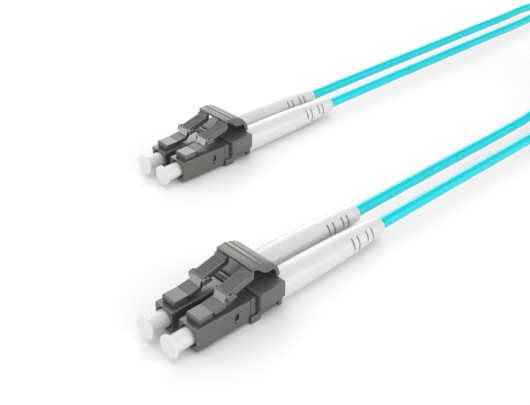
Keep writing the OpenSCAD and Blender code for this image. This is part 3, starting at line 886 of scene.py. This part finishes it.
@dataclass
class Clip(Piece):
    """Holder on both rear bodies, with hooks, feet, a hinge groove and a bar at the latches."""

    node = "clip"
    half_w: float = 6.35
    floor: float = -1.95
    lip_r: float = 0.45  # rounding of the front's upper edge
    corner_r: float = 0.5  # and of its upright edges
    slot_y: Point = (17.6, 18.3)  # across the underside, in front of the back feet
    slot_top: float = -1.25
    hinge_r: float = 0.4
    hinge_half: float = 4.6
    round_end: float = 16.7
    boot_d: float = 4.1
    gap: Point = (1.6, -0.8)  # half width and top of the opening under each plug
    bar_middle: Point = (12.62, 2.28)
    bar_r: float = 0.68
    bar_power: float = 0.8  # 1 for a round back, less for a squarer one
    bar_x: Point = (-4.6, 1.7)

    def template(self) -> bpy.types.Mesh:
        w, top, foot = self.half_w, CLIP_TOP, self.half_w - 0.7
        before, behind = CLIP_FRONT - 1, CLIP_BACK + 1
        right = [(w, top, 0.3), (w, -0.15, 0.08), (foot, -0.85, 0.12), (foot, self.floor, 0.05)]
        left = [(-x, z, cut) for x, z, cut in reversed(right)]
        body = prism(rounded_outline(left + right), CLIP_FRONT, CLIP_BACK, axis="y")
        lip = arc((CLIP_FRONT + self.lip_r, top - self.lip_r), self.lip_r, 180, 90, 8)
        over = [(before, top + 1), (before, top - 0.3), *lip, (CLIP_FRONT + self.lip_r, top + 1)]
        y0, y1 = self.slot_y
        cuts = [slab(over, w + 1), *self.corners()]
        cuts.append(block((-w - 1, y0, self.floor - 1), (w + 1, y1, self.slot_top)))
        cuts.append(slab(disc(TRIGGER_HINGE, self.hinge_r), self.hinge_half))
        half, ceiling = self.gap
        for x in (-SIDE_X, SIDE_X):
            cuts.append(prism(circle(ROUND_D) + (x, 0), before, self.round_end, axis="y"))
            cuts.append(prism(circle(self.boot_d) + (x, 0), 16, behind, axis="y"))
            cuts.append(block((x - half, before, -3), (x + half, behind, ceiling)))
        shell = dulled(solid("clip", body, bevel=0.1, cuts=cuts), above=top - 0.2, amount=0.8)
        return merged("clip", [shell, self.feet(foot), self.bar()])

    def bar(self) -> bpy.types.Mesh:
        """Rounded bar in front of the clip, from the left plug's collar to the right latch."""
        y, z = self.bar_middle
        turn = np.radians(np.arange(0, 181, 10))
        across, up = np.cos(turn), np.sin(turn)
        power, r = self.bar_power, self.bar_r
        back = np.column_stack(
            [y + r * np.sign(across) * abs(across) ** power, z + r * abs(up) ** power]
        )
        neck_y, neck_z = CLIP_FRONT + 0.1, 2.45
        neck = [(neck_y, z), (neck_y, neck_z), (13.28, neck_z)]
        shape = prism(neck + back[1:].tolist(), *self.bar_x)
        return dulled(solid("bar", shape, bevel=0.2), above=0, amount=0.6)

    def corners(self) -> list[Shape]:
        """Cutters that round the body's upright edges in front."""
        r = self.corner_r
        x, y = self.half_w - r, CLIP_FRONT + r
        right = [(x, y - 2), (x + 2, y - 2), (x + 2, y)] + arc((x, y), r, 0, -90, 8)
        left = [(-a, b) for a, b in reversed(right)]
        return [prism(outline, -5, 5, axis="z") for outline in (left, right)]

    def feet(self, foot: float) -> bpy.types.Mesh:
        """Hooks under the plugs' collars and feet at the back, at both sides and in the middle."""
        top, low, back_low = self.floor + 0.05, -2.85, -2.35
        hook = [(11.8, low), (14.1, low), (14.1, top), (13.38, top), (13.38, -2.26), (11.8, -2.26)]
        y = self.slot_y[1]
        back = rounded_outline(
            [
                (y, back_low, 0.2), (CLIP_BACK, back_low, 0.3), (CLIP_BACK, top + 0.1, 0),
                (y, top + 0.1, 0),
            ]
        )
        spans = ((-foot, 0.9 - foot), (-1.5, 1.5), (foot - 0.9, foot))
        first, *others = (prism(outline, *span) for span in spans for outline in (hook, back))
        plug_side = SIDE_X + HOUSING_W / 2
        tab = rectangle(HOUSING_L - 0.2, CLIP_FRONT + 0.4, -2.3, -1.2)
        tabs = both_sides(tab, plug_side + 0.05, plug_side + 0.45)
        return solid("feet", sum(others, first) + tabs, bevel=0.06)


@dataclass
class Trigger(Piece):
    """Release trigger over both latches: a ridged curved plate on an arm, with a pad behind it."""

    node = "trigger"
    body = "trigger_{tag}"
    half_w: float = 4.5
    middle: Point = (14.0, 3.15)
    length: float = 5.6
    height: float = 4.5
    arm: float = 0.7
    plate: float = 0.6
    front: float = 13.0
    pin_r: float = 0.36
    stem_half: float = 0.18
    ridges: tuple[float, ...] = (14.9, 16.03, 17.0, 17.87)
    ridge_h: float = 0.15
    ridge_half: float = 0.3
    rib_pitch: float = 0.36
    rib_h: float = 0.045
    pad: tuple[Point, ...] = (  # y and z on its underside, from back to front
        (17.5, 5.15), (16.75, 5.19), (16.1, 5.39), (15.6, 5.70), (15.0, 6.23), (14.6, 6.60),
        (14.1, 6.92),
    )
    pad_points: int = 20

    def outer(self, angle: float) -> Point:
        """A point of the back's curve, raised by ridges and ribs, at an angle from upright."""
        a = math.radians(angle)
        y = self.middle[0] + self.length * math.sin(a)
        z = self.middle[1] + self.height * math.cos(a)
        lift = sum(
            self.ridge_h * max(0.0, 1 - (abs(y - ridge) / self.ridge_half) ** 2)
            for ridge in self.ridges
        )
        rib = (y % self.rib_pitch) / self.rib_pitch
        lift += self.rib_h * min(1.0, 3 * min(rib, 1 - rib))
        return y + lift * math.sin(a), z + lift * math.cos(a)

    def inner(self, angle: float) -> Point:
        """A point of the arm's inside curve."""
        a = math.radians(angle)
        return (
            self.middle[0] + (self.length - self.arm) * math.sin(a),
            self.middle[1] + (self.height - self.arm) * math.cos(a),
        )

    def pad_curve(self) -> list[Point]:
        """The pad's rounded underside: a smooth curve through its chosen points."""
        part = np.linspace(0, len(self.pad) - 1, self.pad_points)
        base = np.minimum(part.astype(int), len(self.pad) - 2)
        t = part - base

        def through(v: np.ndarray) -> list[float]:
            wide = np.concatenate([[2 * v[0] - v[1]], v, [2 * v[-1] - v[-2]]])
            a, b, c, d = (wide[base + k] for k in range(4))
            bend = 2 * a - 5 * b + 4 * c - d + t * (3 * (b - c) + d - a)
            return (b + 0.5 * t * (c - a + t * bend)).tolist()

        y, z = np.array(self.pad).T
        return list(zip(through(y), through(z)))

    def template(self) -> bpy.types.Mesh:
        top, front, half = self.middle[1] + self.height, self.front, self.half_w
        back, neck, under = self.middle[0] + self.length, CLIP_TOP + 0.2, top - self.plate
        pad_z = top - 2.4
        end = math.degrees(math.acos((pad_z - self.middle[1]) / (self.height - self.arm)))
        outline = [(front, top - 0.12), (front + 0.02, top - 0.06)]
        outline += [self.outer(a) for a in np.linspace(-9.5, 86, 190)]
        outline += [(back, neck), (back - 0.15, neck - 0.05)]
        outline += [(18.45, neck - 0.05), (18.5, neck + 0.3)]
        outline += [self.inner(a) for a in np.linspace(86, end, 12)]
        outline += self.pad_curve()
        outline += [(13.7, under), (front + 0.06, under), (front, under + 0.06)]
        y, z = TRIGGER_HINGE
        stem = block((-half, y - self.stem_half, z), (half, y + self.stem_half, neck + 0.1))
        pin = slab(disc(TRIGGER_HINGE, self.pin_r), half)
        plate = solid("plate", slab(outline, half), bevel=0.13)
        return merged("trigger", [plate, solid("pin", pin), solid("stem", stem)])


# ---- Cords ----

CORD_D = 2.4
COIL_CENTRE = (32.0, 112.0)
COIL_INNER_R = 9.6
COIL_TURNS = 3.5
COIL_STEPS = 24  # points in each turn
TURN_PITCH = CORD_D + 0.41
LAYER_PITCH = CORD_D + 0.45
FLOOR_Z = 1.25  # height of a cord's middle on the floor
AXIS_Z = 2.85  # and at a boot's tail
TAIL_A, TAIL_B = 9.6, 42.7


@dataclass(frozen=True)
class Leg:
    """One of the two cords, with its route in millimetres: from end A, its coil, and to end B."""

    number: int  # as in the CAD nodes' names
    length: float  # between the boots' tails, in metres
    layer: int  # the lower of the two coil layers that it fills
    start: tuple[Triple, ...]  # route points up to the coil
    finish: tuple[Triple, ...]  # route points after the coil


LEGS = (
    Leg(
        1, 0.937, 1,
        (
            (25, TAIL_A, AXIS_Z), (25, 16, AXIS_Z), (25, 40, 2.7), (25, 60, 2.5), (24.4, 71, 2),
            (22, 81, 1.5), (18.2, 90, FLOOR_Z), (14.7, 98, FLOOR_Z), (12.8, 104, FLOOR_Z),
        ),
        (
            (12.5, 120, 3.7), (12.5, 128, 2.2), (12.5, 137, 1.4), (12.5, 146, FLOOR_Z),
            (10, 155.4, FLOOR_Z), (3.1, 162.2, FLOOR_Z), (-6.2, 164.8, FLOOR_Z),
            (-15.6, 162.2, FLOOR_Z), (-22.5, 155.4, 1.6), (-25, 146, 2.1), (-25, 130, 2.4),
            (-25, 110, 2.6), (-25, 80, 2.75), (-25, 56, AXIS_Z), (-25, TAIL_B, AXIS_Z),
        ),
    ),
    Leg(
        2, 0.913, 3,
        (
            (18.75, TAIL_A, AXIS_Z), (18.75, 16, AXIS_Z), (18.75, 40, 2.7), (18.75, 62, 2.5),
            (18.6, 74, 2.6), (17.6, 83, 3.2), (15.7, 92, 4.4), (13.7, 100, 6), (12.8, 105, 6.7),
        ),
        (
            (12.5, 120, 9.3), (12.5, 128, 7.1), (12.5, 139, 4.3), (10.5, 147, 3.2),
            (4.6, 152.6, 2), (-3.1, 154.6, 1.3), (-11, 152.6, 1.3), (-16.6, 147, 1.7),
            (-18.75, 139, 2.15), (-18.75, 126, 2.4), (-18.75, 105, 2.6), (-18.75, 80, 2.75),
            (-18.75, 56, AXIS_Z), (-18.75, TAIL_B, AXIS_Z),
        ),
    ),
)


def coil_points(layer: int) -> np.ndarray:
    """Centre points of one cord's loops.

    The radius grows with the turns counted from the innermost point, on the way in and on the way
    out, and the height climbs one layer along a half cosine in the half turn round that point.
    """
    steps = COIL_TURNS * COIL_STEPS
    turn = np.arange(-steps, steps + 1) / COIL_STEPS
    r = COIL_INNER_R + TURN_PITCH * np.abs(turn)
    a = np.radians(180 - 360 * (turn + COIL_TURNS))
    climb = 0.5 - 0.5 * np.cos(2 * math.pi * np.clip(turn + 0.25, 0, 0.5))
    z = FLOOR_Z + LAYER_PITCH * (layer - 1 + climb)
    loops = np.stack([COIL_CENTRE[0] + r * np.cos(a), COIL_CENTRE[1] + r * np.sin(a), z], axis=1)
    first, last = loops[0] - (0, CORD_D, 0), loops[-1] + (0, CORD_D, 0)
    return np.vstack([first, loops, last])


def smooth_handles(points: np.ndarray) -> tuple[np.ndarray, np.ndarray]:
    """Left and right handles of a curve through points.

    The direction at a point is that of its two neighbours, the nearer one counting more, and each
    handle reaches a third of the way to its neighbour.
    """
    gaps = np.diff(points, axis=0)
    lengths = np.linalg.norm(gaps, axis=1)[:, None]
    slopes = gaps / lengths
    inner = slopes[:-1] * lengths[1:] + slopes[1:] * lengths[:-1]
    ways = np.vstack([slopes[:1], inner / np.linalg.norm(inner, axis=1)[:, None], slopes[-1:]])
    before = np.vstack([lengths[:1], lengths])
    after = np.vstack([lengths, lengths[-1:]])
    return points - ways * before / 3, points + ways * after / 3


def lay_cord(leg: Leg, paints: Paints) -> None:
    points = np.vstack([leg.start, coil_points(leg.layer), leg.finish]) * MM
    left, right = smooth_handles(points)
    curve = bpy.data.curves.new(f"cord_{leg.number}", "CURVE")
    curve.dimensions = "3D"
    curve.resolution_u = 6
    curve.bevel_depth = CORD_D / 2 * MM
    curve.bevel_resolution = 6
    curve.use_fill_caps = True
    spline = curve.splines.new("BEZIER")
    spline.bezier_points.add(len(points) - 1)
    for key, values in (("co", points), ("handle_left", left), ("handle_right", right)):
        spline.bezier_points.foreach_set(key, values.ravel())
    curve.materials.append(paints[Slot.JACKET])
    cord = linked(f"cord_{leg.number}_shown", curve)
    cord.visible_diffuse = False  # the floor takes only little of the jacket's colour
    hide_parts(*(f"cord_{leg.number}_{part}" for part in ("from_a", "coil", "to_b")))
    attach(cord, "ends_and_cords")
    tuple(points[0])


# ---- Studio ----

FLOOR_SIZE = 3.0
FLOOR_LOOK = {
    "Base Color": (0.93, 0.93, 0.935, 1), "Roughness": 0.6, "Specular IOR Level": 0.2,
}


@dataclass(frozen=True)
class Lobe:
    """One soft source on the dome."""

    azimuth: float  # degrees from +X towards +Y
    elevation: float  # degrees above the floor
    sharpness: float  # power of the cosine that the light falls off with
    strength: float  # radiance at its middle

    def direction(self) -> Triple:
        """Unit vector towards the middle of the source."""
        a, e = math.radians(self.azimuth), math.radians(self.elevation)
        return (math.cos(a) * math.cos(e), math.sin(a) * math.cos(e), math.sin(e))


LOBES = (
    Lobe(0, 90, 8, 2.08), Lobe(0, 12, 14, 1.9), Lobe(45, 12, 14, 1.46), Lobe(135, 12, 14, 3.51),
    Lobe(270, 12, 14, 2.5), Lobe(315, 12, 14, 0.5), Lobe(15, 40, 14, 1.63),
    Lobe(135, 40, 14, 0.65), Lobe(195, 40, 14, 0.89), Lobe(255, 40, 14, 0.68),
    Lobe(232, 4, 50, 8.0), Lobe(138, 35, 60, 1.7), Lobe(170, 56, 60, 1.1),
    Lobe(32, 14, 60, 4.5),
)


def set_camera() -> None:
    """Put the camera where it sees the ends as a product picture does."""
    a, e = math.radians(CAMERA_AZIMUTH), math.radians(CAMERA_ELEVATION)
    roll = math.radians(CAMERA_ROLL)
    back = Vector((math.sin(a) * math.cos(e), -math.cos(a) * math.cos(e), math.sin(e)))
    right = Vector((math.cos(a), math.sin(a), 0))
    up = back.cross(right)
    tilted = right * math.cos(roll) + up * math.sin(roll)
    lifted = up * math.cos(roll) - right * math.sin(roll)
    data = bpy.data.cameras.new("camera")
    data.sensor_fit = "HORIZONTAL"
    data.sensor_width = SENSOR_MM
    data.lens = FOCAL_PIXELS * SENSOR_MM / FRAME_WIDTH
    data.clip_start = 0.005
    data.clip_end = 20
    camera = linked("camera", data)
    turn = Matrix((tilted, lifted, back)).transposed().to_4x4()
    camera.matrix_world = Matrix.Translation(Vector(CAMERA_MM) * MM) @ turn
    bpy.context.scene.camera = camera


def lay_floor() -> None:
    """Lay a pale floor that the camera sees as white where no shadow falls."""
    mesh = bpy.data.meshes.new("floor")
    s = FLOOR_SIZE / 2
    mesh.from_pydata([(-s, -s, 0), (s, -s, 0), (s, s, 0), (-s, s, 0)], [], [(0, 1, 2, 3)])
    material = bpy.data.materials.new("floor")
    material.use_nodes = True
    graph = Graph(material.node_tree)
    graph.fill(graph.first("BSDF_PRINCIPLED"), FLOOR_LOOK)
    mesh.materials.append(material)
    floor = linked("floor", mesh)
    floor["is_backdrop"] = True


def light_dome() -> None:
    """Light the scene with the dome's sources, and show the camera white beyond the floor."""
    world = bpy.data.worlds.new("dome")
    bpy.context.scene.world = world
    world.use_nodes = True
    graph = Graph(world.node_tree)
    way = graph.node("ShaderNodeTexCoord").outputs["Generated"]
    light: object = 0.0
    for lobe in LOBES:
        aim = graph.node(
            "ShaderNodeVectorMath", {0: way, 1: lobe.direction()}, operation="DOT_PRODUCT"
        )
        facing = graph.math("MAXIMUM", aim.outputs["Value"], 0.0)
        fall = graph.math("POWER", facing, lobe.sharpness)
        light = graph.math("MULTIPLY_ADD", fall, lobe.strength, light)
    seen = graph.node("ShaderNodeLightPath").outputs["Is Camera Ray"]
    strength = graph.math("MAXIMUM", light, seen)
    graph.fill(graph.first("BACKGROUND"), {"Color": (1, 1, 1, 1), "Strength": strength})


# ---- Making ----

CARRIED = {
    "ferrule": Slot.FERRULE, "holder": Slot.STEEL, "yarn": Slot.YARN,
    "crimp_ring": Slot.STEEL, "buffer": Slot.BUFFER, "jacket": Slot.JACKET,
}


def paint_carried(nodes: dict, places: Sequence[Place], paints: Paints) -> None:
    """Give the CAD's inner pieces, which stay as they are, their materials."""
    for kind, slot in CARRIED.items():
        for place in places:
            mesh = nodes[f"{kind}_{place.tag}"].data
            mesh.materials.clear()
            mesh.materials.append(paints[slot])


def save_sizes(before: object, after: object) -> None:
    """Put the CAD model's box and the visual model's box in a table, which is not kept."""
    plain = [[[float(v) for v in corner] for corner in box] for box in (before, after)]
    {"cad": plain[0], "visual": plain[1]}


def main() -> None:
    """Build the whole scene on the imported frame."""
    logging.basicConfig(level=logging.INFO, format="%(name)s: %(message)s")
    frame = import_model()
    cad_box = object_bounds()
    paints = Paints()
    set_camera()
    for leg in LEGS:
        lay_cord(leg, paints)
    plugs = plug_places()
    for piece in (Housing(), Latch(), RearBody(), Boot(), Spring(), DustCap()):
        piece.put(plugs, paints)
    for piece in (Clip(), Trigger()):
        piece.put(end_places(plugs), paints)
    paint_carried(frame["nodes"], plugs, paints)
    bpy.context.scene.view_settings.view_transform = "Standard"
    lay_floor()
    light_dome()
    save_sizes(cad_box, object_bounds())


if __name__ == "__main__":
    main()
